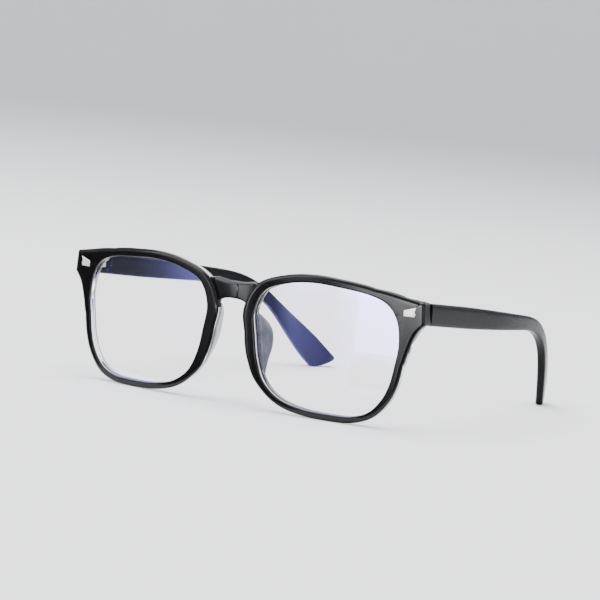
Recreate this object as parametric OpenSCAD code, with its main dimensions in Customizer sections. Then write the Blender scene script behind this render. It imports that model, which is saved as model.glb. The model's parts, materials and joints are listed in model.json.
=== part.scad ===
// Full-rim spectacles: black front over a clear liner, plano lenses, folding temples.
// Front frame: X to the wearer's left, Y towards the back of the head, Z up,
// origin on the front surface over the nose at the lenses' mid height.
// place_rest() then tilts the whole piece so that it stands on its rims and temple tips.

/* [Lenses] */
// Width of a lens opening
lens_w = 52.4; // [42:0.2:62]
// Height of a lens opening
lens_h = 42.8; // [34:0.2:52]
// Distance between the two lens openings over the nose
nose_gap = 18.6; // [15:0.2:24]
// Thickness of a lens
lens_t = 1.8; // [1.4:0.1:2.2]
// Depth of the front surface of a lens behind the face of its rim
lens_inset = 1.1; // [0.9:0.1:1.3]
// How far the ridge round a lens reaches into the rim
lens_bite = 0.7; // [0.4:0.1:0.9]
// Width of that ridge, across the lens
ridge_w = 0.8; // [0.6:0.1:1.0]

/* [Front] */
// Rim width above a lens
rim_top = 2.8; // [2:0.1:4]
// Rim width below a lens
rim_bottom = 2.2; // [1.8:0.1:3.5]
// Rim width on the temple side
rim_side = 2.6; // [2:0.1:3.5]
// Rim width on the nose side
rim_nose = 4.3; // [3.4:0.1:5.5]
// How far the end corners of the front sweep back
wrap = 8.6; // [5:0.2:11]
// Thickness of the black front layer
face_t = 1.0; // [0.7:0.1:1.2]
// Thickness of the clear rear layer
liner_t = 3.0; // [2.4:0.1:3.6]
// How far an end piece stands out beyond its lens opening
end_reach = 8.1; // [7:0.1:10]
// Height of an end piece
end_h = 7.0; // [6.6:0.1:9]
// Drop from the top of a lens opening to the top of its end piece
end_drop = 2.0; // [1:0.1:4]
// Depth of an end piece from its front corner back to the temple joint
end_depth = 4.3; // [4:0.1:5]

/* [Bridge] */
// Setback of the bridge from the face of the rims
bridge_set = 1.5; // [0.8:0.1:1.8]
// Height of the bridge at its middle
bridge_h = 5.9; // [5:0.1:8]
// Drop from the top of a lens opening to the top of the bridge
bridge_drop = 3.4; // [2:0.1:6]

/* [Nose pads] */
// How far a nose pad reaches back from the rim
pad_reach = 8.6; // [5:0.2:10]
// Height of a nose pad
pad_h = 24; // [18:0.5:28]
// Thickness of a nose pad at its root
pad_t = 2.4; // [1.8:0.1:3]
// Angle by which a nose pad spreads outwards
pad_flare = 20; // [12:1:32]

/* [Temples] */
// Length of a temple along its curve
temple_l = 143; // [120:1:160]
// Thickness of a temple at its root
temple_t = 3.6; // [3.2:0.1:4.4]
// Thickness of a temple at its tip
tip_t = 3.0; // [2.4:0.1:3.6]
// Height of a temple at its root
root_h = 7.4; // [6.4:0.1:8.8]
// Height of a temple at its waist
waist_h = 4.4; // [3.4:0.1:6]
// Height of the paddle at the tip of a temple
paddle_h = 9.6; // [6:0.1:11]
// Downward slope of a temple in front of the ear
slope = 6.5; // [3:0.1:9]
// Further downward turn behind the ear
ear_bend = 39.5; // [25:0.5:50]
// Inward lean of a temple at its root
lean = 1.5; // [0:0.1:3]
// Further inward turn at the tip
tip_in = 19.5; // [8:0.5:24]
// Twist of the paddle about its own length
tip_twist = -5; // [-12:0.5:12]
// Slant of the cut at the tip: how far its upper corner runs on past the middle
tip_slant = 3.0; // [0:0.1:4]
// How far the right temple stands folded in at rest
rest_fold = 2.2; // [0:0.1:5]
// Diameter of the core wire
core_d = 1.3; // [0.9:0.1:1.6]

/* [Hinges] */
// Outside diameter of a hinge barrel
barrel_d = 2.6; // [2.3:0.1:2.8]
// Height of one of the five barrels
barrel_h = 0.94; // [0.84:0.02:1.04]
// Diameter of the hinge screw
screw_d = 1.4; // [1.2:0.1:1.5]
// Diameter of the screw head
head_d = 2.2; // [1.8:0.1:2.4]
// Height of the screw head
head_t = 0.45; // [0.4:0.05:0.6]
// Thickness of the washer under the screw head
washer_t = 0.2; // [0.15:0.05:0.3]
// Thickness of the hinge plates
leaf_t = 0.9; // [0.7:0.1:1.1]

/* [Plaques] */
// Length of a metal plaque
plaque_l = 4.0; // [3:0.1:5]
// Height of a plaque at its wide end
plaque_h = 3.2; // [2.4:0.1:4]
// Thickness of a plaque
plaque_t = 0.6; // [0.5:0.1:0.8]
// How far a plaque stands proud of the face
plaque_proud = 0.15; // [0.1:0.05:0.3]
// Distance from the end of the front to the middle of a plaque
plaque_inset = 5.2; // [4.6:0.1:6]
// Diameter of the peg behind a plaque
peg_d = 1.0; // [0.8:0.1:1.2]

/* [Fits] */
// Radial running clearance of the hinge screw
pin_gap = 0.03; // [0.02:0.01:0.08]
// Gap between neighbouring barrels
barrel_gap = 0.05; // [0.04:0.01:0.1]
// Gap between an end piece and its temple
joint_gap = 0.1; // [0.06:0.01:0.2]
// Clearance round each inlaid piece
seat_gap = 0.02; // [0.01:0.01:0.05]

/* [Hidden] */

fine = 96;                                  // segments of true round surfaces
steps = 6;                                  // straight steps between two outline points
far = 60;                                   // longer than any cut needs to be

lens_x = (nose_gap + lens_w) / 2;           // lens centre from the middle of the front
half_w = nose_gap / 2 + lens_w + end_reach; // half the overall width
wrap_r = (half_w * half_w + wrap * wrap) / (2 * wrap);
frame_t = face_t + liner_t;
seam = lens_inset + lens_t / 2;             // depth of the lens ridge's middle
end_top = lens_h / 2 - end_drop;
end_low = end_top - end_h;
bridge_top = lens_h / 2 - bridge_drop;
bridge_back = 0.3;                          // how far the bridge stands out behind the rims

// depth of the face at a distance x from the middle
function sag(x) = wrap_r - sqrt(wrap_r * wrap_r - x * x);

// ---- curves ----
function spline_at(a, b, c, d, t) =
  0.5 * (2 * b + (c - a) * t + (2 * a - 5 * b + 4 * c - d) * t * t
    + (3 * b - a - 3 * c + d) * t * t * t);
function loop_curve(p) = let (n = len(p)) [
  for (i = [0 : n - 1], k = [0 : steps - 1])
    spline_at(p[(i + n - 1) % n], p[i], p[(i + 1) % n], p[(i + 2) % n], k / steps)
];
function open_curve(p) = let (n = len(p)) concat([
  for (i = [0 : n - 2], k = [0 : steps - 1])
    spline_at(p[max(i - 1, 0)], p[i], p[i + 1], p[min(i + 2, n - 1)], k / steps)
], [p[n - 1]]);
function unit(v) = v / norm(v);
function ease(a, b, x) = let (t = min(max((x - a) / (b - a), 0), 1)) t * t * (3 - 2 * t);

// ---- lens outline, left eye, as shares of half its width and height ----
lens_shape = [
  [1.00, 0.24], [0.955, 0.58], [0.82, 0.81], [0.58, 0.925], [0.20, 0.98], [-0.18, 1.00],
  [-0.54, 0.94], [-0.86, 0.78], [-1.00, 0.43], [-0.965, 0.04], [-0.905, -0.33],
  [-0.78, -0.66], [-0.54, -0.88], [-0.20, -0.98], [0.20, -1.00], [0.46, -0.98],
  [0.68, -0.875], [0.83, -0.67], [0.92, -0.42], [0.97, -0.10]
];
opening = loop_curve([for (p = lens_shape) [lens_x + p.x * lens_w / 2, p.y * lens_h / 2]]);

// outward normal of a closed outline at point i
function normal(p, i) = let (n = len(p), d = unit(p[(i + 1) % n] - p[(i + n - 1) % n]))
  [d.y, -d.x];
function grown(p, w) = [for (i = [0 : len(p) - 1]) p[i] + w * normal(p, i)];
// rim width where the outline faces direction v: wide shoulders above, slim corners below
function rim_w(v) = let (k = pow(abs(v.x), v.y > 0 ? 2 : 8))
  k * (v.x > 0 ? rim_side : rim_nose) + (1 - k) * (v.y > 0 ? rim_top : rim_bottom);
rim = [for (i = [0 : len(opening) - 1])
  opening[i] + rim_w(normal(opening, i)) * normal(opening, i)];

lens_edge = lens_x + lens_w / 2;
// end piece: the rim's top line runs on to the corner, and its underside curves into the rim
end_shape = concat(
  open_curve([
    [half_w, end_low], [half_w - 2.8, end_low - 3.6], [half_w - 4.6, end_low - 8.5],
    [half_w - 6.0, end_low - 14]
  ]),
  [[lens_edge + 0.9, 0], [lens_edge + 0.9, end_low], [lens_edge - 3, end_top - 0.8]],
  open_curve([
    [half_w - 24, lens_h / 2 + rim_top - 1.3], [half_w - 14.5, end_top + 2.6],
    [half_w - 8, end_top + 1.4], [half_w - 0.5, end_top]
  ])
);
// block of the end piece that is black all the way through
block_x = lens_edge - 0.2;
block_shape = [
  [block_x, end_low - 0.4], [half_w + 2, end_low - 0.4], [half_w + 2, end_top + 9], [block_x, end_top + 9]
];
// bridge, from rim to rim over the nose
bridge_x = nose_gap / 2 - 1.2;
arch = open_curve([
  [-bridge_x + 1.6, bridge_top - bridge_h - 3.6], [-bridge_x + 3, bridge_top - bridge_h - 1.2],
  [-2.4, bridge_top - bridge_h - 0.1], [2.4, bridge_top - bridge_h - 0.1],
  [bridge_x - 3, bridge_top - bridge_h - 1.2], [bridge_x - 1.6, bridge_top - bridge_h - 3.6]
]);
bridge_shape = concat(arch, [[bridge_x, bridge_top - bridge_h - 3.6]], open_curve([
  [bridge_x, bridge_top + 0.6], [3, bridge_top], [-3, bridge_top], [-bridge_x, bridge_top + 0.6]
]), [[-bridge_x, bridge_top - bridge_h - 3.6]]);

// ---- building blocks in the front frame ----
module upright(shape) // an X-Z outline drawn out along Y
  rotate([90, 0, 0]) translate([0, 0, -far]) linear_extrude(2 * far) polygon(shape);
module drum(depth) // everything behind the surface at a depth
  translate([0, wrap_r, -far]) cylinder(h = 2 * far, r = wrap_r - depth, $fn = 8 * fine);
module layer(from, to) // what lies between two depths
  intersection() {
    difference() { drum(from); drum(to); }
    translate([-2 * far, -1, -far]) cube([4 * far, far, 2 * far]);
  }
module both() { children(); mirror([1, 0, 0]) children(); }
module side(s) { if (s > 0) children(); else mirror([1, 0, 0]) children(); }
module swung(s) // pieces that fold with a temple
  side(s) translate([pin_x, pin_y, 0]) rotate([0, 0, s > 0 ? 0 : rest_fold])
    translate([-pin_x, -pin_y, 0]) children();

// ---- hinge position ----
joint_y = sag(half_w) + end_depth;          // plane where the temple meets its end piece
end_mid = (end_top + end_low) / 2 - 0.2;
barrel_r = barrel_d / 2;
pin_x = half_w - temple_t - barrel_r;
pin_y = joint_y + 0.4;
hinge_z = end_mid - 0.2;
pocket_y = pin_y - barrel_r - 0.5;          // floor of the hinge pocket in the end piece
stack_h = 5 * barrel_h + 4 * barrel_gap;
leaf_h = stack_h;
anchor_l = 1.6;                             // how far the hinge anchor reaches forward of its plate
anchor_y = pocket_y - leaf_t - anchor_l;
anchor_w = 2.4;
anchor_h = 1.8;
anchor_lap = 0.4;                           // how far the anchor runs into the plate

// ---- temple sweep, left side, starting at its end piece ----
rings = 46;
sides = 16;
start = [half_w + 0.2 - temple_t / 2, joint_y + joint_gap, end_mid - 0.4];
function turn_down(s) = slope + ear_bend * ease(0.52, 0.83, s);
function turn_in(s) = lean + tip_in * max(0, (s - 0.33) / 0.67);
function along(s) = let (a = turn_down(s), b = turn_in(s)) [-sin(b), cos(b) * cos(a), -cos(b) * sin(a)];
path = [for (i = 0, p = start; i <= rings; p = p + temple_l / rings * along((i + 0.5) / rings), i = i + 1) p];
function temple_height(s) =
  root_h + (waist_h - root_h) * ease(0.15, 0.74, s) + (paddle_h - waist_h) * ease(0.74, 0.95, s);
// the last stretch closes in a rounded end
tip_round = 0.014;
function closing(s) = s < 1 - tip_round ? 1 : sqrt(max(0.02, 1 - pow((s - 1 + tip_round) / tip_round, 2)));
// ring stations: even along the temple, closer together at the tip
stations = concat([-0.01], [for (i = [0 : 40]) i / 40 * (1 - tip_round)],
  [for (a = [25 : 20 : 85]) 1 - tip_round + tip_round * sin(a)]);
function path_at(s) = let (i = max(min(floor(s * rings), rings - 1), 0))
  path[i] + (s * rings - i) * (path[i + 1] - path[i]);
function squarish(a, p) = sign(a) * pow(abs(a), p);
// one ring: a box with rounded corners across the path
function ring(s, t, h, n, p) = let (
  d = along(s), up0 = unit([0, 0, 1] - d.z * d), out0 = cross(d, up0),
  tw = tip_twist * ease(0.4, 1, s), up = up0 * cos(tw) - out0 * sin(tw), out = cross(d, up)
) [for (k = [0 : n - 1]) let (a = 360 * (k + 0.5) / n)
  path_at(s) + out * t / 2 * squarish(cos(a), p)
    + (up * h / 2 + d * tip_slant * ease(0.9, 1, s) * closing(s)) * squarish(sin(a), p)];
function skin(r, n) = [
  for (j = [0 : r - 2], k = [0 : n - 1]) each [
    [j * n + k, (j + 1) * n + (k + 1) % n, (j + 1) * n + k],
    [j * n + k, j * n + (k + 1) % n, (j + 1) * n + (k + 1) % n]
  ]
];
module sweep(list, n) { // closed skin through equal rings
  r = len(list);
  polyhedron([for (l = list) each l], concat(skin(r, n),
    [[for (k = [n - 1 : -1 : 0]) k]], [[for (k = [0 : n - 1]) (r - 1) * n + k]]));
}
temple_rings = [for (s = stations)
  ring(s, (temple_t + (tip_t - temple_t) * s) * pow(closing(s), 0.7),
    temple_height(s) * closing(s), sides, 0.45)];
leaf_l = 9;                                 // length of the temple's hinge plate
tang_l = 1.4;
core_from = (leaf_l + joint_gap) / temple_l;
core_to = 0.87;
core_steps = 26;
// rings along the core wire, or with a larger d along the bore that holds it
function core_rings(d) = let (spare = d > core_d ? seat_gap / temple_l : 0) [for (i = [0 : core_steps])
  ring(core_from - (i == 0 ? 12 * spare : 0) + (i == core_steps ? 4 * spare : 0)
    + (core_to - core_from) * i / core_steps, d, d, 8, 1)];

// ---- rest pose: rims and tips on the floor ----
tip_points = [for (l = temple_rings) each l];
guess = 3.3;
function lowest(list, a) = min([for (p = list) p.z * cos(a) + p.y * sin(a)]);
function rim_points() = [for (p = rim) [p.x, sag(p.x), p.y]];
rim_z = lowest(rim_points(), guess);
tip_z = lowest(tip_points, guess);
tip_y = [for (p = tip_points) if (p.z * cos(guess) + p.y * sin(guess) < tip_z + 0.001) p.y][0];
rest_tilt = guess + atan2(rim_z - tip_z, tip_y);
rest_z = min(lowest(rim_points(), rest_tilt), lowest(tip_points, rest_tilt));
front_y = min([for (p = rim) sag(p.x) * cos(rest_tilt) - p.y * sin(rest_tilt)]);
back_y = max([for (p = tip_points) p.y * cos(rest_tilt) - p.z * sin(rest_tilt)]);
module place_rest()
  translate([0, -(front_y + back_y) / 2, -rest_z]) rotate([rest_tilt, 0, 0]) children();

// ---- pieces, left side of the wearer at +X ----
module end_block() // solid end piece behind the face, with its cheek beside the hinge
  difference() {
    intersection() { upright(end_shape); upright(block_shape); drum(face_t / 2); }
    translate([half_w / 2, joint_y, -far]) cube([far, far, 2 * far]);
    translate([half_w / 2, pocket_y, -far])
      cube([pin_x + barrel_r + 0.3 - half_w / 2, far, 2 * far]);
  }
module hinge_plate_front(grow)
  translate([block_x + 0.2 - grow, pocket_y - leaf_t - grow, hinge_z - leaf_h / 2 - grow])
    cube([pin_x + barrel_r - block_x - 0.2 + 2 * grow, leaf_t + grow, leaf_h + 2 * grow]);
module hinge_anchor_front(grow)
  translate([pin_x - anchor_w - 0.2 - grow, anchor_y - grow, hinge_z - anchor_h / 2 - grow])
    cube([anchor_w + 2 * grow, anchor_l + anchor_lap + grow, anchor_h + 2 * grow]);
plaque_x = half_w - plaque_inset;
peg_x = plaque_x - 0.3;
// the peg stops short of the hinge anchor behind it
peg_l = anchor_y - 0.1 - sag(peg_x) - plaque_t + plaque_proud;
plaque_shape = [
  [-plaque_l / 2, -plaque_h * 0.5], [plaque_l / 2 - 0.3, -plaque_h * 0.5],
  [plaque_l / 2, -plaque_h * 0.2], [plaque_l / 2 - 0.4, 0.1],
  [plaque_l / 2 + 0.1, plaque_h * 0.5], [-plaque_l / 2, plaque_h * 0.12]
];
module plaque_solid(grow) // tapered plate with a notched wide end, and its peg
  translate([plaque_x, sag(plaque_x), end_mid + 0.4]) rotate([90, 0, asin(plaque_x / wrap_r)])
    translate([0, 0, plaque_proud - plaque_t - grow]) {
      linear_extrude(plaque_t + grow)
        polygon([for (p = plaque_shape) p + grow * [sign(p.x), sign(p.y)]]);
      translate([peg_x - plaque_x, 0, -peg_l - grow])
        cylinder(h = peg_l + 0.1, r = peg_d / 2 + grow, $fn = 24);
    }
module lens_cut() { // opening and the groove for the lens ridge
  upright(opening);
  intersection() {
    upright(grown(opening, lens_bite + seat_gap));
    layer(seam - ridge_w / 2 - seat_gap, seam + ridge_w / 2 + seat_gap);
  }
}

module front_face() color("black") difference() {
  union() {
    intersection() {
      layer(0, face_t);
      union() { both() { upright(rim); upright(end_shape); } }
    }
    intersection() { layer(bridge_set, frame_t + bridge_back); upright(bridge_shape); }
    both() intersection() { layer(0, frame_t); upright(bridge_shape); upright(rim); }
    both() end_block();
  }
  both() {
    lens_cut();
    plaque_solid(seat_gap);
    hinge_plate_front(seat_gap);
    hinge_anchor_front(seat_gap);
  }
}
module liner(s) color("white", 0.5) side(s) difference() {
  intersection() { layer(face_t, frame_t); union() { upright(rim); upright(end_shape); } }
  upright(block_shape);
  upright(bridge_shape);
  lens_cut();
}
module lens(s) color("lightblue", 0.4) side(s) {
  intersection() { upright(grown(opening, -seat_gap)); layer(lens_inset, lens_inset + lens_t); }
  intersection() {
    upright(grown(opening, lens_bite));
    layer(seam - ridge_w / 2, seam + ridge_w / 2);
  }
}
// nose pad: upright rings, each a wedge from the liner's rear face out to the pad's edge
pad_profile = open_curve([
  [0, 0.1], [0.1, 0.5], [0.22, 0.86], [0.38, 1.0], [0.56, 0.9], [0.72, 0.6], [0.88, 0.3], [1, 0.08]
]);
pad_top = lens_h / 2 - 11.8;
// nose-side edge of the rim at height z
function nose_x(z) = min([for (i = [1 : len(rim) - 1]) let (a = rim[i - 1], b = rim[i])
  if (a.x < lens_x && a.y >= z && b.y < z) a.x + (b.x - a.x) * (a.y - z) / (a.y - b.y)]);
pad_rings = [for (q = pad_profile) let (
    z = pad_top - pad_h * q.x, r = pad_reach * q.y + 0.2, x = nose_x(z) + 0.5, y = sag(x) + frame_t - 0.8,
    d = [sin(pad_flare), cos(pad_flare)], m = [cos(pad_flare), -sin(pad_flare)],
    a = [x, y], b = [x, y] + (r + 0.8) * d, w = pad_t * (0.45 + 0.55 * sin(180 * q.x))
  ) [for (p = [a + w * m, b + 0.35 * w * m - 0.25 * d, b + 0.2 * w * m, b - 0.35 * d, a]) [p.x, p.y, z]]];
module nose_pad(s) color("white", 0.5) side(s) difference() {
  intersection() { sweep(pad_rings, 5); drum(frame_t); }
  intersection() { layer(face_t, frame_t + bridge_back); upright(bridge_shape); }
}
module plaque(s) color("silver") side(s) plaque_solid(0);
module barrel(k) // one of the five barrels, counted from the bottom
  translate([pin_x, pin_y, hinge_z - stack_h / 2 + k * (barrel_h + barrel_gap)])
    cylinder(h = barrel_h, r = barrel_r, $fn = fine);
module web(k, x, y, w, l) // joins a barrel to its plate
  translate([x, y, hinge_z - stack_h / 2 + k * (barrel_h + barrel_gap)]) cube([w, l, barrel_h]);
module screw_bore()
  translate([pin_x, pin_y, hinge_z - stack_h])
    cylinder(h = 2 * stack_h, r = screw_d / 2 + pin_gap, $fn = fine);
module hinge_front(s) color("gold") side(s) difference() {
  union() {
    hinge_plate_front(0);
    hinge_anchor_front(0);
    for (k = [0, 2, 4]) {
      barrel(k);
      web(k, pin_x - barrel_r, pocket_y - leaf_t / 2, barrel_r, pin_y - pocket_y + leaf_t / 2);
    }
  }
  screw_bore();
}
leaf_x = pin_x + barrel_r + 0.3;            // inner face of the temple at its root
module temple_leaf_plate(grow) {
  translate([leaf_x - (grow > 0 ? 1 : 0), start.y - (grow > 0 ? 1 : 0), hinge_z - leaf_h / 2 - grow])
    cube([leaf_t + grow + (grow > 0 ? 1 : 0), leaf_l + grow + (grow > 0 ? 1 : 0), leaf_h + 2 * grow]);
  translate([leaf_x, start.y + leaf_l - tang_l - grow, hinge_z - 1.2 - grow])
    cube([temple_t / 2 + core_d / 2, tang_l + 2 * grow, 1.6 + 2 * grow]);
}
module hinge_temple(s) color("gold") swung(s) difference() {
  union() {
    temple_leaf_plate(0);
    for (k = [1, 3]) {
      barrel(k);
      web(k, pin_x, pin_y, leaf_x - pin_x + leaf_t / 2, barrel_r);
    }
  }
  screw_bore();
}
module hinge_screw(s) color("silver") side(s) difference() {
  translate([pin_x, pin_y, hinge_z - stack_h / 2]) union() {
    cylinder(h = stack_h + washer_t + 0.1, r = screw_d / 2, $fn = fine);
    translate([0, 0, stack_h + washer_t]) cylinder(h = head_t, r = head_d / 2, $fn = fine);
  }
  translate([pin_x - head_d, pin_y - 0.15, hinge_z + stack_h / 2 + washer_t + head_t / 2])
    cube([2 * head_d, 0.3, head_t]);
}
module hinge_washer(s) color("white") side(s)
  translate([pin_x, pin_y, hinge_z + stack_h / 2]) difference() {
    cylinder(h = washer_t, r = head_d / 2, $fn = fine);
    translate([0, 0, -1]) cylinder(h = 2, r = screw_d / 2 + pin_gap, $fn = fine);
  }
module temple(s) color("black") swung(s) difference() {
  sweep(temple_rings, sides);
  sweep(core_rings(core_d + 2 * seat_gap), 8);
  temple_leaf_plate(seat_gap);
  translate([0, start.y - far, -far]) cube([2 * far, far, 2 * far]);
}
module temple_core(s) color("silver") swung(s) sweep(core_rings(core_d), 8);

place_rest() front_face();
place_rest() liner(1);  // liner_left
place_rest() liner(-1);  // liner_right
place_rest() lens(1);  // lens_left
place_rest() lens(-1);  // lens_right
place_rest() nose_pad(1);  // nose_pad_left
place_rest() nose_pad(-1);  // nose_pad_right
place_rest() plaque(1);  // plaque_left
place_rest() plaque(-1);  // plaque_right
place_rest() hinge_front(1);  // hinge_front_left
place_rest() hinge_front(-1);  // hinge_front_right
place_rest() hinge_temple(1);  // hinge_temple_left
place_rest() hinge_temple(-1);  // hinge_temple_right
place_rest() hinge_screw(1);  // hinge_screw_left
place_rest() hinge_screw(-1);  // hinge_screw_right
place_rest() hinge_washer(1);  // hinge_washer_left
place_rest() hinge_washer(-1);  // hinge_washer_right
place_rest() temple(1);  // temple_left
place_rest() temple(-1);  // temple_right
place_rest() temple_core(1);  // temple_core_left
place_rest() temple_core(-1);  // temple_core_right
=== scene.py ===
# Blue light glasses: black front on a clear liner, coated lenses, folding temples.
# Shapes are drawn in millimetres in the front's own frame (X wearer's left, Y back, Z up),
# and are then set down as at rest.
import math
import json
import bpy
import bmesh
from mathutils import Vector, Matrix


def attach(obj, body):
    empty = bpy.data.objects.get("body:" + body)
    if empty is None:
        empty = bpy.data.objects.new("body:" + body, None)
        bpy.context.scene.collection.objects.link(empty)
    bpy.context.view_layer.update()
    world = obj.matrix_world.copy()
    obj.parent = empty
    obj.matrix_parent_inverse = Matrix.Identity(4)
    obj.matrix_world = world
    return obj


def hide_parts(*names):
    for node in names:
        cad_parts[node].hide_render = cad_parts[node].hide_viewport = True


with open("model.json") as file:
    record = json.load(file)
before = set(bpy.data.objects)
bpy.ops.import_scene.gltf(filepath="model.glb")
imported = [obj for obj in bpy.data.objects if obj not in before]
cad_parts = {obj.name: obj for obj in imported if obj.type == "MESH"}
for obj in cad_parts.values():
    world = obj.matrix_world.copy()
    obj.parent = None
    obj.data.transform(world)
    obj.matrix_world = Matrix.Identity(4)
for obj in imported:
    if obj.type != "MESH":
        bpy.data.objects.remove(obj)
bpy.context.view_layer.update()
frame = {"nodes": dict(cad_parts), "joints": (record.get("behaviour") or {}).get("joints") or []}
joints = {joint["name"]: joint for joint in frame["joints"]}
print("frame loaded:", len(frame["nodes"]), "nodes")

# how the front's own frame sits in the shared frame
hinge = {"x": 64.9, "y": 13.3, "z": 15.5, "leafHalf": 2.47, "restFold": 2.2, "endMiddle": 15.7}
foldAxis = Vector(joints["left_fold"]["axis"])
tilt = Matrix.Rotation(math.atan2(-foldAxis.y, foldAxis.z), 4, "X")
pin = Vector((hinge["x"], hinge["y"], hinge["z"]))
setDown = Vector(joints["left_fold"]["pos_m"]) - tilt @ (pin * 0.001)
toShared = Matrix.Translation(setDown) @ tilt @ Matrix.Scale(0.001, 4)
mirrorX = Matrix.Diagonal((-1, 1, 1, 1))
swing = (Matrix.Translation(pin) @ Matrix.Rotation(math.radians(hinge["restFold"]), 4, "Z")
         @ Matrix.Translation(-pin))


# small tools for numbers and curves
def ease(a, b, x):
    t = min(max((x - a) / (b - a), 0), 1)
    return t * t * (3 - 2 * t)


def blend(a, b, t):
    return a + (b - a) * t


def splineAt(a, b, c, d, t):
    return tuple(0.5 * (2 * q + (r - p) * t + (2 * p - 5 * q + 4 * r - s) * t * t
                        + (3 * q - p - 3 * r + s) * t ** 3) for p, q, r, s in zip(a, b, c, d))


def loopCurve(points, steps):
    n = len(points)
    return [splineAt(points[i - 1], points[i], points[(i + 1) % n], points[(i + 2) % n], k / steps)
            for i in range(n) for k in range(steps)]


def openCurve(points, steps):
    n = len(points)
    curve = [splineAt(points[max(i - 1, 0)], points[i], points[i + 1], points[min(i + 2, n - 1)], k / steps)
             for i in range(n - 1) for k in range(steps)]
    return curve + [tuple(points[-1])]


def normalAt(loop, i):
    a, b = loop[i - 1], loop[(i + 1) % len(loop)]
    dx, dy = b[0] - a[0], b[1] - a[1]
    size = math.hypot(dx, dy)
    return dy / size, -dx / size


def reach(loop, origin, direction):
    best = 0
    for i in range(len(loop)):
        ax, ay = loop[i - 1][0] - origin[0], loop[i - 1][1] - origin[1]
        bx, by = loop[i][0] - origin[0], loop[i][1] - origin[1]
        ca = ax * direction[1] - ay * direction[0]
        cb = bx * direction[1] - by * direction[0]
        if ca * cb <= 0 and ca != cb:
            t = ca / (ca - cb)
            far = (ax + (bx - ax) * t) * direction[0] + (ay + (by - ay) * t) * direction[1]
            best = max(best, far)
    return best


# mesh tools
def makePiece(name, points, faces, place, sharp=38, smooth=True):
    mesh = bpy.data.meshes.new(name)
    mesh.from_pydata([place @ Vector(p) for p in points], [], faces)
    piece = bpy.data.objects.new(name, mesh)
    bpy.context.scene.collection.objects.link(piece)
    tidyMesh(piece, sharp, smooth)
    return piece


def tidyMesh(piece, sharp=38, smooth=True):
    work = bmesh.new()
    work.from_mesh(piece.data)
    bmesh.ops.remove_doubles(work, verts=work.verts, dist=2e-7)
    bmesh.ops.dissolve_degenerate(work, edges=work.edges, dist=1e-7)
    bmesh.ops.recalc_face_normals(work, faces=work.faces)
    if work.calc_volume(signed=True) < 0:
        bmesh.ops.reverse_faces(work, faces=work.faces)
    for face in work.faces:
        face.smooth = smooth
    for edge in work.edges:
        edge.smooth = len(edge.link_faces) == 2 and edge.calc_face_angle(0) < math.radians(sharp)
    work.to_mesh(piece.data)
    work.free()


def applyModifiers(piece):
    mesh = bpy.data.meshes.new_from_object(piece.evaluated_get(bpy.context.evaluated_depsgraph_get()))
    piece.modifiers.clear()
    old = piece.data
    piece.data = mesh
    bpy.data.meshes.remove(old)


def combine(piece, others, operation):
    for other in others:
        step = piece.modifiers.new("join", "BOOLEAN")
        step.operation, step.object, step.solver = operation, other, "MANIFOLD"
        bpy.context.view_layer.update()
        applyModifiers(piece)
        bpy.data.objects.remove(other)
    tidyMesh(piece)
    step = piece.modifiers.new("shading", "WEIGHTED_NORMAL")  # keeps large faces flat beside small bevels
    step.keep_sharp, step.weight = True, 90
    bpy.context.view_layer.update()
    applyModifiers(piece)
    return piece


def bevelEdges(piece, width, segments=3, angle=40):
    step = piece.modifiers.new("edges", "BEVEL")
    step.width, step.segments, step.angle_limit = width * 0.001, segments, math.radians(angle)
    step.limit_method = "ANGLE"
    bpy.context.view_layer.update()
    applyModifiers(piece)
    tidyMesh(piece, 50)
    return piece


def loftFaces(rings, size, closed=False):
    faces = []
    for j in range(rings if closed else rings - 1):
        a, b = j * size, (j + 1) % rings * size
        faces += [(a + k, a + (k + 1) % size, b + (k + 1) % size, b + k) for k in range(size)]
    if not closed:
        faces += [tuple(range(size))[::-1], tuple((rings - 1) * size + k for k in range(size))]
    return faces


def loft(name, rings, place, closed=False):
    points = [p for ring in rings for p in ring]
    return makePiece(name, points, loftFaces(len(rings), len(rings[0]), closed), place)


def prism(name, points, place):  # the first half of the points is one end, the second half the other
    n = len(points) // 2
    faces = [tuple(range(n)), tuple(n + k for k in range(n))[::-1]]
    faces += [(k, (k + 1) % n, n + (k + 1) % n, n + k) for k in range(n)]
    return makePiece(name, points, faces, place, smooth=False)


def boxPiece(low, high, place):
    points = [(x, y, z) for x in (low[0], high[0]) for y in (low[1], high[1]) for z in (low[2], high[2])]
    faces = [(0, 1, 3, 2), (4, 6, 7, 5), (0, 4, 5, 1), (2, 3, 7, 6), (0, 2, 6, 4), (1, 5, 7, 3)]
    return makePiece("cutter", points, faces, place, smooth=False)


def placed(side):
    return toShared if side > 0 else toShared @ mirrorX


def swung(side):
    return toShared if side > 0 else toShared @ mirrorX @ swing


# outlines
lens = {"width": 52.4, "height": 42.8, "gap": 18.6, "thick": 1.8, "inset": 1.1, "bite": 0.62, "dome": 0.05}
rim = {"top": 2.8, "bottom": 2.2, "side": 2.6, "nose": 4.3, "wrap": 8.6, "face": 1.0, "liner": 3.0,
       "reach": 8.1, "endHeight": 7.0, "endDrop": 2.0, "outerRound": 1.2, "innerRound": 0.3,
       "outerDepth": 0.85, "innerDepth": 0.28, "leastFlat": 0.15, "slantLimit": 0.62}
lensX = (lens["gap"] + lens["width"]) / 2
halfWidth = lens["gap"] / 2 + lens["width"] + rim["reach"]
wrapRadius = (halfWidth ** 2 + rim["wrap"] ** 2) / (2 * rim["wrap"])
frontDepth = rim["face"] + rim["liner"]
endTop = lens["height"] / 2 - rim["endDrop"]
endLow = endTop - rim["endHeight"]
lensEdge = lensX + lens["width"] / 2

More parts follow.
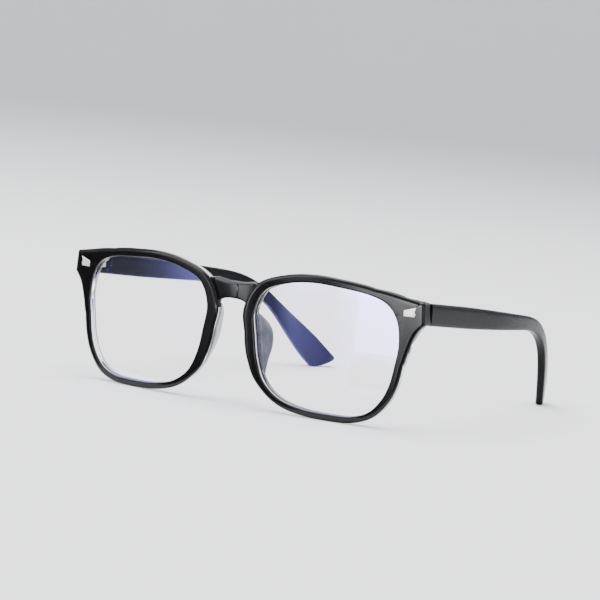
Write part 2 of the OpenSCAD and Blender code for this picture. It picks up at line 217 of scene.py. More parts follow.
lensShape = [
    (1.00, 0.24), (0.955, 0.58), (0.82, 0.81), (0.58, 0.925), (0.20, 0.98), (-0.18, 1.00),
    (-0.54, 0.94), (-0.86, 0.78), (-1.00, 0.43), (-0.965, 0.04), (-0.905, -0.33),
    (-0.78, -0.66), (-0.54, -0.88), (-0.20, -0.98), (0.20, -1.00), (0.46, -0.98),
    (0.68, -0.875), (0.83, -0.67), (0.92, -0.42), (0.97, -0.10)]


def sag(x):
    return wrapRadius - math.sqrt(wrapRadius ** 2 - x * x)


def rimWidth(normal):
    k = abs(normal[0]) ** (2 if normal[1] > 0 else 8)
    across = rim["side"] if normal[0] > 0 else rim["nose"]
    return k * across + (1 - k) * (rim["top"] if normal[1] > 0 else rim["bottom"])


opening = loopCurve([(lensX + x * lens["width"] / 2, y * lens["height"] / 2) for x, y in lensShape], 14)
rimLoop = []
for spot in range(len(opening)):
    facing = normalAt(opening, spot)
    width = rimWidth(facing)
    rimLoop.append((opening[spot][0] + width * facing[0], opening[spot][1] + width * facing[1]))
endLoop = openCurve([(halfWidth, endLow), (halfWidth - 2.8, endLow - 3.6), (halfWidth - 4.6, endLow - 8.5),
                     (halfWidth - 6.0, endLow - 14)], 10)
endLoop += [(lensEdge + 0.9, 0), (lensEdge + 0.9, endLow), (lensEdge - 3, endTop - 0.8)]
endLoop += openCurve([(halfWidth - 24, lens["height"] / 2 + rim["top"] - 1.3),
                      (halfWidth - 14.5, endTop + 2.6), (halfWidth - 8, endTop + 1.4),
                      (halfWidth - 1.1, endTop + 0.1)], 10)
endLoop += [(halfWidth - 0.7, endTop - 0.1), (halfWidth - 0.5, endTop - 0.5)]

middle = (lensX, 0.0)
turns = [math.radians(0.5 + a) for a in range(360)]
turns += [math.atan2(z - middle[1], x - middle[0]) % (2 * math.pi)
          for x, z in [(halfWidth, endLow), (halfWidth - 0.7, endTop - 0.1), (halfWidth - 1.1, endTop + 0.1),
                       (halfWidth - 0.5, endTop - 0.5), (61.5, 11.98), (61.51, 12.02), (61.5, endTop + 2)]]
turns = sorted(turns)
rays = [(math.cos(a), math.sin(a)) for a in turns]
innerReach = [reach(opening, middle, ray) for ray in rays]
outerReach = [max(reach(rimLoop, middle, ray), reach(endLoop, middle, ray)) for ray in rays]


def slantOf(reaches):
    out = []
    loop = [(r * ray[0], r * ray[1]) for r, ray in zip(reaches, rays)]
    for i, ray in enumerate(rays):
        n = normalAt(loop, i)
        out.append(1 / max(abs(n[0] * ray[0] + n[1] * ray[1]), rim["slantLimit"]))
    return out


innerSlant, outerSlant = slantOf(innerReach), slantOf(outerReach)


def spotAt(i, r, depth):
    x = middle[0] + r * rays[i][0]
    return (x, sag(x) + depth, middle[1] + r * rays[i][1])


# shader maths
class Signal:
    def __init__(self, finish, socket):
        self.finish, self.socket = finish, socket

    def maths(self, operation, *values):
        return self.finish.node("ShaderNodeMath", {"operation": operation}, dict(enumerate(values)))

    def __add__(self, other):
        return self.maths("ADD", self, other)

    def __radd__(self, other):
        return self.maths("ADD", other, self)

    def __sub__(self, other):
        return self.maths("SUBTRACT", self, other)

    def __rsub__(self, other):
        return self.maths("SUBTRACT", other, self)

    def __mul__(self, other):
        return self.maths("MULTIPLY", self, other)

    def __rmul__(self, other):
        return self.maths("MULTIPLY", other, self)

    def __truediv__(self, other):
        return self.maths("DIVIDE", self, other)

    def __rtruediv__(self, other):
        return self.maths("DIVIDE", other, self)

    def __pow__(self, other):
        return self.maths("POWER", self, other)

    def __gt__(self, other):
        return self.maths("GREATER_THAN", self, other)

    def __lt__(self, other):
        return self.maths("LESS_THAN", self, other)

    def __abs__(self):
        return self.maths("ABSOLUTE", self)


class Finish:
    def __init__(self, name):
        self.material = bpy.data.materials.new(name)
        self.material.use_nodes = True
        self.tree = self.material.node_tree
        self.tree.nodes.clear()

    def node(self, kind, settings=None, sockets=None, output=0):
        made = self.tree.nodes.new(kind)
        for key, value in (settings or {}).items():
            if key == "stops":
                ramp = made.color_ramp.elements
                while len(ramp) < len(value):
                    ramp.new(0.5)
                for element, (position, colour) in zip(ramp, value):
                    element.position, element.color = position, colour
            else:
                setattr(made, key, value)
        for key, value in (sockets or {}).items():
            if isinstance(value, Signal):
                self.tree.links.new(value.socket, made.inputs[key])
            else:
                made.inputs[key].default_value = value
        return Signal(self, made.outputs[output]) if len(made.outputs) else None

    def place(self):
        return self.node("ShaderNodeTexCoord", output="Object")

    def noise(self, perMm, detail=2.0, roughness=0.5, where=None):
        return self.node("ShaderNodeTexNoise", {"noise_dimensions": "3D"},
                         {"Vector": where or self.place(), "Scale": perMm * 1000, "Detail": detail,
                          "Roughness": roughness}, "Fac")

    def ramp(self, value, stops):
        greys = [(position, (grey, grey, grey, 1)) for position, grey in stops]
        return self.node("ShaderNodeValToRGB", {"stops": greys}, {"Fac": value})

    def tint(self, mask, dark, light):
        return self.node("ShaderNodeMix", {"data_type": "RGBA"}, {0: mask, 6: dark, 7: light}, 2)

    def bump(self, height, strength, distance):
        return self.node("ShaderNodeBump", None,
                         {"Height": height, "Strength": strength, "Distance": distance})

    def split(self, vector):
        made = self.node("ShaderNodeSeparateXYZ", None, {"Vector": vector})
        return [Signal(self, output) for output in made.socket.node.outputs]

    def stretched(self, x, y, z):
        return self.node("ShaderNodeMapping", None, {"Vector": self.place(), "Scale": (x, y, z)})

    def done(self, shader):
        self.node("ShaderNodeOutputMaterial", None, {"Surface": shader})
        return self.material


def blackPlastic(name, look):
    finish = Finish(name)
    cloud = finish.noise(0.05, 3)
    hairlines = finish.ramp(finish.noise(1.2, 1, where=finish.stretched(1, 0.06, 1)), [(0.62, 0), (0.72, 1)])
    edgeWear = finish.ramp(finish.node("ShaderNodeNewGeometry", output="Pointiness"), [(0.52, 0), (0.6, 1)])
    roughness = (look["roughness"] + cloud * look["cloud"] + hairlines * look["hairlines"]
                 + edgeWear * look["edgeWear"])
    wavy = finish.noise(0.22, 2)
    shader = finish.node("ShaderNodeBsdfPrincipled", None, {
        "Base Color": finish.tint(cloud, look["dark"], look["light"]),
        "Roughness": roughness, "IOR": look["ior"],
        "Normal": finish.bump(wavy, look["ripple"], 0.0002)})
    return finish.done(shader)


def clearResin(name, look):
    finish = Finish(name)
    haze = finish.noise(0.3, 3)
    shader = finish.node("ShaderNodeBsdfPrincipled", None, {
        "Base Color": finish.tint(haze, look["dark"], look["light"]),
        "Roughness": look["roughness"] + haze * 0.05, "IOR": 1.49, "Transmission Weight": look["clear"],
        "Normal": finish.bump(finish.noise(0.4, 2), 0.05, 0.0002)})
    return finish.done(shader)


def coatedLens(name, look):
    finish = Finish(name)
    through = finish.node("ShaderNodeBsdfTransparent", None, {"Color": look["through"]})
    coat = finish.node("ShaderNodeBsdfGlossy", None, {"Color": look["coat"], "Roughness": look["roughness"]})
    both = finish.node("ShaderNodeAddShader", None, {0: through, 1: coat})
    sheen = finish.node("ShaderNodeBsdfGlossy", None,
                        {"Color": look["grazing"], "Roughness": look["roughness"]})
    facing = finish.node("ShaderNodeLayerWeight", None, {"Blend": 0.5}, "Facing")
    patches = finish.noise(0.02, 1)
    rise = (facing ** 5) * (0.8 + patches * 0.4)
    polished = finish.node("ShaderNodeMixShader", None, {0: rise, 1: both, 2: sheen})
    # the lens edge carries no coating; its rear slope is painted near-black, a painted dark line that stands
    # in for the black front's reflection in the liner
    y = finish.split(finish.node("ShaderNodeNewGeometry", output="True Normal"))[1]
    y = y * (1 - finish.node("ShaderNodeNewGeometry", output="Backfacing") * 2)
    paintedDarkLine = finish.node("ShaderNodeBsdfPrincipled", None, {"Base Color": look["edge"], "Roughness": 0.3})
    edge = finish.node("ShaderNodeMixShader", None, {0: y > look["rearSlope"], 1: through, 2: paintedDarkLine})
    flat = abs(y) > look["polishedFrom"]
    return finish.done(finish.node("ShaderNodeMixShader", None, {0: flat, 1: edge, 2: polished}))


def brushedMetal(name, look):
    finish = Finish(name)
    streaks = finish.noise(1.5, 4, 0.6, where=finish.stretched(*look["grain"]))
    shader = finish.node("ShaderNodeBsdfPrincipled", None, {
        "Base Color": finish.tint(streaks, look["dark"], look["light"]), "Metallic": look["metallic"],
        "Roughness": look["roughness"] + streaks * look["spread"],
        "Normal": finish.bump(streaks, look["bump"], 0.00005)})
    return finish.done(shader)


def nylon(name):
    finish = Finish(name)
    mottle = finish.noise(0.6, 3)
    shader = finish.node("ShaderNodeBsdfPrincipled", None, {
        "Base Color": finish.tint(mottle, (0.78, 0.78, 0.74, 1), (0.88, 0.88, 0.85, 1)),
        "Roughness": 0.4 + mottle * 0.2,
        "Subsurface Weight": 0.1, "Subsurface Radius": (0.0004, 0.0004, 0.0003),
        "Normal": finish.bump(mottle, 0.1, 0.0001)})
    return finish.done(shader)


finishes = {
    "black_gloss": blackPlastic("blackGloss", {
        "dark": (0.003, 0.003, 0.0035, 1), "light": (0.006, 0.0055, 0.006, 1),
        "roughness": 0.07, "cloud": 0.05,
        "hairlines": 0.03, "edgeWear": 0.05, "ior": 1.36, "ripple": 0.03}),
    "temple_black": blackPlastic("templeBlack", {
        "dark": (0.004, 0.004, 0.005, 1), "light": (0.007, 0.007, 0.008, 1), "roughness": 0.2, "cloud": 0.08,
        "hairlines": 0.05, "edgeWear": 0.05, "ior": 1.15, "ripple": 0.04}),
    "clear_resin": clearResin("clearResin", {
        "dark": (0.86, 0.87, 0.88, 1), "light": (0.94, 0.95, 0.95, 1), "roughness": 0.03, "clear": 1.0}),
    "pad_resin": clearResin("padResin", {
        "dark": (0.03, 0.035, 0.038, 1), "light": (0.22, 0.24, 0.25, 1), "roughness": 0.1, "clear": 0.35}),
    "coated_lens": coatedLens("coatedLens", {
        "through": (0.985, 0.98, 0.945, 1), "coat": (0.10, 0.095, 0.30, 1), "grazing": (0.8, 0.85, 1.0, 1),
        # the edge colour is a painted reflection: near-black, standing in for the black front seen in the
        # liner
        "edge": (0.02, 0.022, 0.022, 1), "roughness": 0.02, "rearSlope": 0.3, "polishedFrom": 0.83}),
    "plaque_metal": brushedMetal("plaqueMetal", {
        "dark": (0.92, 0.87, 0.76, 1), "light": (1.0, 0.97, 0.88, 1), "roughness": 0.3, "spread": 0.12,
        "bump": 0.15, "grain": (0.2, 0.2, 1), "metallic": 0.55}),
    "hinge_metal": brushedMetal("hingeMetal", {
        "dark": (0.52, 0.50, 0.46, 1), "light": (0.70, 0.68, 0.63, 1), "roughness": 0.28, "spread": 0.16,
        "bump": 0.2, "grain": (1, 1, 0.15), "metallic": 1.0}),
    "core_wire": brushedMetal("coreWire", {
        "dark": (0.5, 0.49, 0.47, 1), "light": (0.7, 0.69, 0.66, 1), "roughness": 0.3, "spread": 0.1,
        "bump": 0.1, "grain": (1, 0.05, 1), "metallic": 1.0}),
    "nylon": nylon("washerNylon")}


def finished(piece, slot, body, *nodes, finish=None):
    piece.data.materials.clear()
    piece.data.materials.append(finishes[finish or slot])
    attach(piece, body)
    if nodes:
        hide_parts(*nodes)
    return piece


# black front
def faceRing(side):
    rings = []
    for i in range(len(rays)):
        near, wide = innerReach[i], outerReach[i] - innerReach[i]
        a, b = rim["innerRound"] * innerSlant[i], rim["outerRound"] * outerSlant[i]
        b = min(b, wide - a - rim["leastFlat"])
        inward = rim["innerDepth"]
        section = [(0, rim["face"]), (0, inward)]
        section += [(a * (1 - math.cos(t)), inward * (1 - math.sin(t))) for t in (0.5, 1.0)]
        section += [(a, 0.0)]
        flat = wide - a - b
        section += [(a + flat * t, 0.0) for t in (0.2, 0.4, 0.6, 0.8)]
        section += [(wide - b + b * math.sin(t), rim["outerDepth"] * (1 - math.cos(t)))
                    for t in [k * math.pi / 14 for k in range(8)]]
        section += [(wide, rim["face"])]
        section += [(wide * t, rim["face"]) for t in (0.8, 0.6, 0.4, 0.2)]
        rings.append([spotAt(i, near + across, depth) for across, depth in section])
    return loft("faceRing", rings, placed(side), closed=True)


bridge = {"top": lens["height"] / 2 - 3.4, "height": 5.9, "set": 1.5, "back": 0.3,
          "half": lens["gap"] / 2 - 1.2, "archDrop": 3.6, "round": 0.8, "rearRound": 0.5, "rearRise": 0.85,
          "lip": 0.35, "flare": 0.6, "crease": 1.6, "creaseDepth": 0.1, "creaseSpread": 0.16}


def bridgeLow(x):
    low = bridge["top"] - bridge["height"]
    half, foot = bridge["half"], low - bridge["archDrop"]
    arch = openCurve([(-half + 1.6, foot), (-half + 3, low - 1.2), (-2.4, low - 0.1),
                      (2.4, low - 0.1), (half - 3, low - 1.2), (half - 1.6, foot)], 12)
    for (ax, az), (bx, bz) in zip(arch, arch[1:]):
        if ax <= x <= bx:
            return az + (bz - az) * (x - ax) / (bx - ax)
    return foot


def bridgePiece():
    rings = []
    stops = [blend(-bridge["half"], bridge["half"], i / 60) for i in range(61)]
    stops += [bridge["crease"] + k * 0.06 for k in range(-6, 7)]
    for x in sorted(stops):
        high = bridge["top"] + bridge["flare"] * ease(2, 8, abs(x))
        low = bridgeLow(x)
        groove = bridge["creaseDepth"] * math.exp(-((x - bridge["crease"]) / bridge["creaseSpread"]) ** 2)
        front, back = sag(x) + bridge["set"] + groove, sag(x) + frontDepth + bridge["back"]
        r, q = bridge["round"], bridge["rearRound"]
        rear = low + bridge["rearRise"] * max(bridge["top"] - bridge["height"] - low, 0)
        ring = []
        for cy, cz, size, first, count in [
                (back - q, rear + q, q, 0, 3), (back - q, high - q, q, 90, 3),
                (front + r, high - bridge["lip"] - r, r, 180, 5), (front + r, low + r, r, 270, 5)]:
            corner = [math.radians(first + 90 // count * k) for k in range(count + 1)]
            ring += [(x, cy + size * math.sin(t), cz - size * math.cos(t)) for t in corner]
        rings.append(ring)
    return loft("bridgePart", rings, toShared)


def noseEdge(z):
    best = 99
    for i in range(len(rimLoop)):
        a, b = rimLoop[i - 1], rimLoop[i]
        if a[0] < lensX and a[1] >= z > b[1]:
            best = min(best, a[0] + (b[0] - a[0]) * (a[1] - z) / (a[1] - b[1]))
    return best


shoulder = {"drop": 3.55, "lift": 0.3, "front": 0.7, "thin": 1.7, "deepens": 3.8}


def shoulderPiece(side):  # joins the rim to the bridge behind the face
    low, high = bridge["top"] - bridge["height"] - shoulder["drop"], bridge["top"] + shoulder["lift"]
    rings = []
    for i in range(25):
        z = blend(low, high, i / 24)
        a, b = noseEdge(z) + 0.03, bridge["half"] - 0.02
        deep = blend(shoulder["thin"], frontDepth - 0.02, ease(low, low + shoulder["deepens"], z))
        near = shoulder["front"]
        rings.append([(a, sag(a) + near, z), (b, sag(b) + near, z), (b, sag(b) + deep, z),
                      (a, sag(a) + deep, z)])
    return loft("shoulder", rings, placed(side))


endBlock = {"inner": 61.5, "back": 12.9, "pocket": 11.5, "cheek": 66.5, "bottom": endLow - 0.4,
            "front": 0.6, "inset": 0.02, "setIn": 0.35, "innerSetIn": 0.5, "innerEnd": 65.5,
            "leaf": (61.68, 66.22), "leafFront": 10.58}


def endPiece(side):
    inner, outer = endBlock["inner"], halfWidth - endBlock["inset"]
    plan = [(x, sag(x) + endBlock["front"]) for x in [blend(inner, outer, t / 12) for t in range(13)]]
    plan += [(outer, endBlock["back"]), (endBlock["cheek"], endBlock["back"]),
             (endBlock["cheek"], endBlock["pocket"]), (inner, endBlock["pocket"])]
    points = [(x, y, z) for z in (endBlock["bottom"], endTop + 6) for x, y in plan]
    block = prism("endBlock", points, placed(side))
    outline = []
    for x, z in endLoop:
        if z > 4:  # the part of the outline beside the block
            lower = endBlock["setIn"] + endBlock["innerSetIn"] * (1 - ease(inner, endBlock["innerEnd"], x))
            outline.append((x, z - lower * ease(10, 14, z)))
    points = [(x, y, z) for y in (-2, 20) for x, z in outline]
    combine(block, [prism("outline", points, placed(side))], "INTERSECT")
    leafInner, leafOuter = endBlock["leaf"]
    leaf = boxPiece((leafInner, endBlock["leafFront"], hinge["z"] - hinge["leafHalf"]),
                    (leafOuter, 20, hinge["z"] + hinge["leafHalf"]), placed(side))
    bevelEdges(block, 0.07, 2, 50)
    return combine(block, [leaf], "DIFFERENCE")


front = faceRing(1)
combine(front, [faceRing(-1), bridgePiece(), shoulderPiece(1), shoulderPiece(-1),
                endPiece(1), endPiece(-1)], "UNION")
front.name = front.data.name = "front_black"
finished(front, "black_gloss", "front", "front_face")
print("black front:", len(front.data.polygons), "faces")


# clear liner
liner = {"front": 0.93, "gap": 0.01, "least": 0.3, "innerRound": 0.3, "rearRound": 0.9, "rearDepth": 2.5}


def linerReach(i):
    limit = outerReach[i]
    x, z = middle[0] + limit * rays[i][0], middle[1] + limit * rays[i][1]
    if x > endBlock["inner"] and z > endBlock["bottom"]:  # stops at the black end block
        limit = min(limit, max((endBlock["inner"] - middle[0]) / rays[i][0],
                               (endBlock["bottom"] - middle[1]) / rays[i][1] if rays[i][1] > 0.05 else 0))
    low = bridge["top"] - bridge["height"] - bridge["archDrop"]
    high = bridge["top"] + bridge["flare"]
    if x < bridge["half"] and low < z < high:
        limit = (bridge["half"] - middle[0]) / rays[i][0]
    return limit


def linerPiece(side, name):
    rings = []
    for i in range(len(rays)):
        near = innerReach[i] + liner["gap"]
        wide = max(linerReach(i) - innerReach[i] - 2 * liner["gap"], liner["least"])
        r, q, deep = min(liner["rearRound"], wide * 0.4), liner["innerRound"], liner["rearDepth"]
        bite = min(lens["bite"], wide * 0.7)
        seat = lens["inset"] + lens["thick"] / 2
        section = [(0, liner["front"]), (0, seat - 0.6), (bite, seat - 0.1), (bite, seat + 0.1),
                   (0, seat + 0.6), (0, frontDepth - q)]
        section += [(q * (1 - math.cos(t)), frontDepth - q + q * math.sin(t)) for t in (0.5, 1.0, 1.57)]
        section += [(wide - r + r * math.sin(t), frontDepth - deep + deep * math.cos(t))
                    for t in [k * math.pi / 16 for k in range(9)]]
        section += [(wide, liner["front"])]
        rings.append([spotAt(i, near + across, depth) for across, depth in section])
    return loft(name, rings, placed(side), closed=True)


for side, word in ((1, "left"), (-1, "right")):
    finished(linerPiece(side, "liner_clear_" + word), "clear_resin", "front", "liner_" + word)
print("clear liners made")


# lenses
def lensPiece(side, name):
    spread = [0.06, 0.16, 0.28, 0.4, 0.52, 0.64, 0.76, 0.87, 0.95, 1.0]
    points = []
    n = len(rays)
    inset, thick, ridge = lens["inset"], lens["thick"], lens["bite"] - 0.04

    def dome(f):
        return -lens["dome"] * (1 - f * f)

    levels = [(f, inset + dome(f), 0) for f in spread]
    levels += [(1.0, inset + 0.35, 0), (1.0, inset + thick / 2 - 0.06, ridge),
               (1.0, inset + thick / 2 + 0.06, ridge), (1.0, inset + thick - 0.35, 0)]
    levels += [(f, inset + thick + dome(f), 0) for f in reversed(spread)]
    for f, depth, grow in levels:
        points += [spotAt(i, (innerReach[i] - 0.03) * f + grow, depth) for i in range(n)]
    faces = loftFaces(len(levels), n)[:-2]
    for start, depth in ((0, inset + dome(0)), ((len(levels) - 1) * n, inset + thick + dome(0))):
        points.append((middle[0], sag(middle[0]) + depth, middle[1]))
        faces += [(start + k, start + (k + 1) % n, len(points) - 1) for k in range(n)]
    return makePiece(name, points, faces, placed(side), 30)


for side, word in ((1, "left"), (-1, "right")):
    finished(lensPiece(side, "lens_coated_" + word), "coated_lens", "front", "lens_" + word)
print("lenses made")

# nose pads
pad = {"reach": 8.6, "height": 24, "thick": 2.4, "flare": 20, "top": lens["height"] / 2 - 11.8,
       "root": 0.35, "inRim": 0.85, "sunk": 0.06, "count": 14}
padProfile = [(0, 0.1), (0.1, 0.5), (0.22, 0.86), (0.38, 1.0), (0.56, 0.9), (0.72, 0.6), (0.88, 0.3),
              (1, 0.08)]  # share of the reach, from the top of the pad down


def padPiece(side, name):
    flare = math.radians(pad["flare"])
    outward = Vector((math.sin(flare), math.cos(flare), 0))
    across = Vector((math.cos(flare), -math.sin(flare), 0))
    rings = []
    for q, share in openCurve(padProfile, 6):
        z = pad["top"] - pad["height"] * q
        length = pad["reach"] * share + pad["root"]
        thick = pad["thick"] * (0.45 + 0.55 * math.sin(math.pi * q))
        x = noseEdge(z) + pad["inRim"]
        base = Vector((x, sag(x) + frontDepth - pad["sunk"], z))
        count = pad["count"]
        ring = []
        for k, face in [(k, 1) for k in range(count + 1)] + [(k, -1) for k in range(count - 1, -1, -1)]:
            s = math.sin(math.pi / 2 * k / count)
            half = thick * (1 - 0.6 * s) / 2
            tip = min(1, math.sqrt(max(0, 1 - max(0, (s - 0.82) / 0.18) ** 2)))  # rounds the edge
            ring.append(base + outward * length * s + across * (half + face * half * tip))
        rings.append(ring)
    return loft(name, rings, placed(side))


for side, word in ((1, "left"), (-1, "right")):
    finished(padPiece(side, "pad_clear_" + word), "clear_resin", "front", "nose_pad_" + word,
             finish="pad_resin")
print("nose pads made")

# plaques
plaque = {"long": 4.0, "high": 3.2, "thick": 0.6, "proud": 0.15, "edge": 0.1,
          "x": halfWidth - 5.2, "z": hinge["endMiddle"] + 0.4}


def plaquePiece(side, name):
    long, high = plaque["long"], plaque["high"]
    outline = [(-long / 2, -high * 0.5), (long / 2 - 0.3, -high * 0.5), (long / 2, -high * 0.2),
               (long / 2 - 0.4, 0.1), (long / 2 + 0.1, high * 0.5), (-long / 2, high * 0.12)]
    turn = math.asin(plaque["x"] / wrapRadius)
    points = []
    for depth in (-plaque["proud"], plaque["thick"] - plaque["proud"]):
        for a, b in outline:
            points.append((plaque["x"] + a * math.cos(turn) - depth * math.sin(turn),
                           sag(plaque["x"]) + a * math.sin(turn) + depth * math.cos(turn), plaque["z"] + b))
    return bevelEdges(prism(name, points, placed(side)), plaque["edge"])


for side, word in ((1, "left"), (-1, "right")):
    finished(plaquePiece(side, "plaque_plate_" + word), "plaque_metal", "front", "plaque_" + word)
print("plaques made")

# temples
temple = {"length": 142.9, "thick": 3.6, "tip": 3.0, "root": 7.4, "waist": 4.4, "paddle": 9.6,
          "slope": 6.5, "ear": 39.5, "earSpan": (0.52, 0.83), "lean": 1.5, "tipIn": 19.5,
          "waistSpan": (0.15, 0.74), "paddleSpan": (0.74, 0.95), "twist": -5, "slant": 3.0,
          "round": 0.014, "rings": 46, "corner": 0.42, "count": 48,
          "leaf": (64, 67.42), "leafLong": 9.02}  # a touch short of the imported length, to stay in its box
templeStart = Vector((halfWidth + 0.2 - temple["thick"] / 2, endBlock["back"] + 0.1,
                      hinge["endMiddle"] - 0.4))


def along(s):
    down = math.radians(temple["slope"] + temple["ear"] * ease(*temple["earSpan"], s))
    inward = math.radians(temple["lean"] + temple["tipIn"] * max(0, (s - 0.33) / 0.67))
    return Vector((-math.sin(inward), math.cos(inward) * math.cos(down), -math.cos(inward) * math.sin(down)))


templePath = [templeStart]
for step in range(temple["rings"]):
    heading = along((step + 0.5) / temple["rings"])
    templePath.append(templePath[-1] + heading * temple["length"] / temple["rings"])


def pathAt(s):
    i = max(min(int(math.floor(s * temple["rings"])), temple["rings"] - 1), 0)
    return templePath[i] + (templePath[i + 1] - templePath[i]) * (s * temple["rings"] - i)


def templeHeight(s):
    return (temple["root"] + (temple["waist"] - temple["root"]) * ease(*temple["waistSpan"], s)
            + (temple["paddle"] - temple["waist"]) * ease(*temple["paddleSpan"], s))


def squarish(a, power):
    return math.copysign(abs(a) ** power, a)


def templePiece(side, name):
    rings = []
    stations = [-0.01] + [i / 130 * (1 - temple["round"]) for i in range(131)]
    stations += [1 - temple["round"] + temple["round"] * math.sin(math.radians(a)) for a in range(8, 89, 8)]
    for s in stations:
        closing = 1 if s < 1 - temple["round"] else math.sqrt(
            max(0.01, 1 - ((s - 1 + temple["round"]) / temple["round"]) ** 2))
        thick = (temple["thick"] + (temple["tip"] - temple["thick"]) * s) * closing ** 0.7
        high = templeHeight(s) * closing
        d = along(s)
        up0 = (Vector((0, 0, 1)) - d * d.z).normalized()
        out0 = d.cross(up0)
        twist = math.radians(temple["twist"] * ease(0.4, 1, s))
        up = up0 * math.cos(twist) - out0 * math.sin(twist)
        out = d.cross(up)
        slant = d * temple["slant"] * ease(0.9, 1, s) * closing
        ring = []
        for k in range(temple["count"]):
            a = 2 * math.pi * (k + 0.5) / temple["count"]
            ring.append(pathAt(s) + out * thick / 2 * squarish(math.cos(a), temple["corner"])
                        + (up * high / 2 + slant) * squarish(math.sin(a), temple["corner"]))
        rings.append(ring)
    piece = loft(name, rings, swung(side))
    y = templeStart.y
    leafInner, leafOuter = temple["leaf"]
    cutters = [boxPiece((40, y - 20, -20), (100, y, 60), swung(side)),
               boxPiece((leafInner, y - 1, hinge["z"] - hinge["leafHalf"]),
                        (leafOuter, y + temple["leafLong"], hinge["z"] + hinge["leafHalf"]), swung(side))]
    return combine(piece, cutters, "DIFFERENCE")


for side, word in ((1, "left"), (-1, "right")):
    finished(templePiece(side, "temple_arm_" + word), "temple_black", word + "_temple", "temple_" + word)
print("temples made")

# metal and nylon parts kept from the frame
keptParts = {"hinge_front": "hinge_metal", "hinge_temple": "hinge_metal", "hinge_screw": "plaque_metal",
             "hinge_washer": "nylon", "temple_core": "core_wire"}
for nodeName, node in frame["nodes"].items():
    for start, slot in keptParts.items():
        if nodeName.startswith(start):
            for k in range(len(node.data.materials)):
                node.data.materials[k] = finishes[slot]

# floor, lights and camera
stage = {"radius": 2.6, "sweep": 0.9, "wall": 3.0, "sides": 72,
         "dark": (0.90, 0.91, 0.93, 1), "light": (0.94, 0.95, 0.965, 1)}


def stageProfile():  # a round floor that sweeps up into a wall far behind
    flat, up = stage["radius"], stage["sweep"]
    rows = [(flat * t / 8, 0) for t in range(1, 9)]
    rows += [(flat + up * math.sin(math.radians(a)), up - up * math.cos(math.radians(a)))
             for a in range(9, 91, 9)]
    return rows + [(flat + up, stage["wall"])]


def floorFinish():
    finish = Finish("paleFloor")
    mottle = finish.noise(0.003, 3)
    shader = finish.node("ShaderNodeBsdfPrincipled", None, {
        "Base Color": finish.tint(mottle, stage["dark"], stage["light"]), "Roughness": 0.6 + mottle * 0.1,
        "Specular IOR Level": 0.0})
    return finish.done(shader)


sides = stage["sides"]
bearings = [math.radians(a) for a in range(0, 360, 360 // sides)]
floorRings = [[(r * math.cos(a), r * math.sin(a), z) for a in bearings] for r, z in stageProfile()]
floorPoints = [p for ring in floorRings for p in ring] + [(0, 0, 0)]
floorFaces = loftFaces(len(floorRings), sides)[:-2]
floorFaces += [(k, (k + 1) % sides, len(floorPoints) - 1) for k in range(sides)]
floor = makePiece("floor", floorPoints, floorFaces, Matrix.Identity(4))
floor.data.materials.append(floorFinish())

# painted reflections: the card glows with painted bands, a painted bright patch and a painted shade patch,
# and shows only in reflections
card = {"apex": (0.060, 0.012), "near": -0.078, "far": -0.7, "left": -1.0, "right": 0.5, "height": 0.0006,
        "strength": 1.1, "colour": (0.95, 0.97, 1.0), "fanShift": 1.6, "fanWidth": 1.8,
        "fan": [(0.0, 0.02), (0.2, 0.03), (0.31, 0.1), (0.4, 0.3), (0.48, 0.5), (0.495, 0.05), (0.52, 0.1),
                (0.525, 3.2), (0.555, 3.2), (0.565, 0.08), (0.585, 0.03), (0.62, 0.08), (0.655, 0.42),
                (0.70, 0.32), (0.735, 0.2), (0.77, 1.0), (0.85, 1.7), (0.90, 3.5), (0.94, 6.0), (0.985, 0.4)],
        "paintedGlint": (0.781, 0.868, -0.40, -0.193, 2.2), "shade": (0.781, 0.868, -0.183, -0.126, -0.88),
        "rise": [(0.10, 0.15), (0.17, 0.9), (0.23, 1.1), (0.28, 1.9), (0.315, 2.0), (0.34, 5.0)]}


def cardFinish():  # painted reflections: a glowing sheet, seen only in reflections, with painted bright and dark bands standing in for a window and black cards
    finish = Finish("paintedReflectionCard")
    x, y = finish.split(finish.place())[:2]
    fan = (x - card["apex"][0]) / (card["apex"][1] - y)
    fan = (fan + card["fanShift"]) * (1 / card["fanWidth"])
    level = finish.ramp(fan, card["fan"]) * finish.ramp(y * -1, card["rise"])
    # a painted highlight patch and a painted shade patch are added to the reflected level
    for left, right, far, near, gain in (card["paintedGlint"], card["shade"]):
        mask = (fan > left) * (fan < right) * (y > far) * (y < near)
        level = level + mask * gain
    colour = finish.node("ShaderNodeVectorMath", {"operation": "SCALE"},
                         {"Vector": card["colour"], "Scale": level})
    glow = finish.node("ShaderNodeEmission", None, {"Color": colour, "Strength": card["strength"]})
    return finish.done(glow)


cardCorners = [(card["left"], card["near"]), (card["right"], card["near"]),
               (card["right"], card["far"]), (card["left"], card["far"])]
cardPiece = makePiece("paintedReflectionCard", [(x, y, card["height"]) for x, y in cardCorners],
                      [(0, 3, 2, 1)], Matrix.Identity(4))
cardPiece.data.materials.append(cardFinish())
# hidden from camera, diffuse light and shadows, so its painted light shows only in reflections
cardPiece.visible_camera = cardPiece.visible_diffuse = cardPiece.visible_shadow = False
cardPiece.visible_transmission = cardPiece.visible_volume_scatter = False

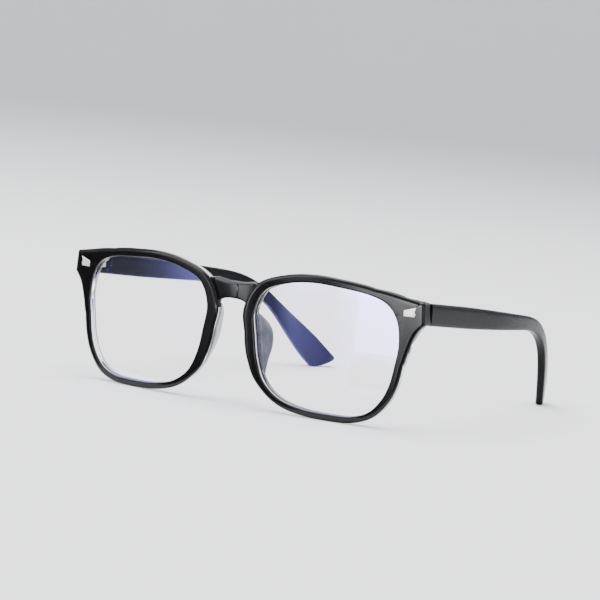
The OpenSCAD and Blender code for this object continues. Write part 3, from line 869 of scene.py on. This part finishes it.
lights = [
    {"name": "overhead", "at": (-0.2, -0.1, 1.5), "size": 1.6, "power": 54, "colour": (1.0, 0.99, 0.98)},
    {"name": "frontFill", "at": (-0.9, -1.3, 0.7), "size": 1.0, "power": 12, "colour": (0.97, 0.98, 1.0)},
    {"name": "backRim", "at": (0.8, 1.2, 0.9), "size": 0.9, "power": 8, "colour": (1.0, 1.0, 1.0)}]
for entry in lights:
    lamp = bpy.data.lights.new(entry["name"], "AREA")
    lamp.shape, lamp.size, lamp.energy, lamp.color = "SQUARE", entry["size"], entry["power"], entry["colour"]
    holder = bpy.data.objects.new(entry["name"], lamp)
    holder.location = entry["at"]
    holder.rotation_euler = (Vector((0, 0, 0.02)) - Vector(entry["at"])).to_track_quat("-Z", "Y").to_euler()
    bpy.context.scene.collection.objects.link(holder)

world = bpy.data.worlds.new("softRoom")
world.use_nodes = True
world.node_tree.nodes["Background"].inputs["Color"].default_value = (0.86, 0.88, 0.92, 1)
world.node_tree.nodes["Background"].inputs["Strength"].default_value = 0.75
bpy.context.scene.world = world

view = {"azimuth": 32.115, "elevation": 7.925, "roll": 4.533, "distance": 1066.35, "lift": 0.8,
        "lens": 191.08, "sensor": 36, "aimRight": 0.02273, "aimUp": 0.01014}  # the aim as slopes


def placeCamera():
    az, el, roll = (math.radians(view[k]) for k in ("azimuth", "elevation", "roll"))
    back = Vector((math.sin(az) * math.cos(el), -math.cos(az) * math.cos(el), math.sin(el)))
    level = Vector((math.cos(az), math.sin(az), 0))
    upright = back.cross(level)
    right = level * math.cos(roll) + upright * math.sin(roll)
    up = upright * math.cos(roll) - level * math.sin(roll)
    aim = right * view["aimRight"] + up * view["aimUp"] - back
    eye = toShared @ (back * view["distance"] + Vector((0, 0, view["lift"])))
    turn = tilt.to_3x3()
    backward = -(turn @ aim).normalized()
    rightward = turn @ right
    rightward = (rightward - backward * rightward.dot(backward)).normalized()
    upward = backward.cross(rightward)
    data = bpy.data.cameras.new("camera")
    data.sensor_width = view["sensor"]
    data.lens = view["lens"]
    data.clip_start, data.clip_end = 0.01, 50
    camera = bpy.data.objects.new("camera", data)
    axes = Matrix((rightward, upward, backward)).transposed().to_4x4()
    camera.matrix_world = Matrix.Translation(eye) @ axes
    bpy.context.scene.collection.objects.link(camera)
    bpy.context.scene.camera = camera


placeCamera()
print("stage, lights and camera set")
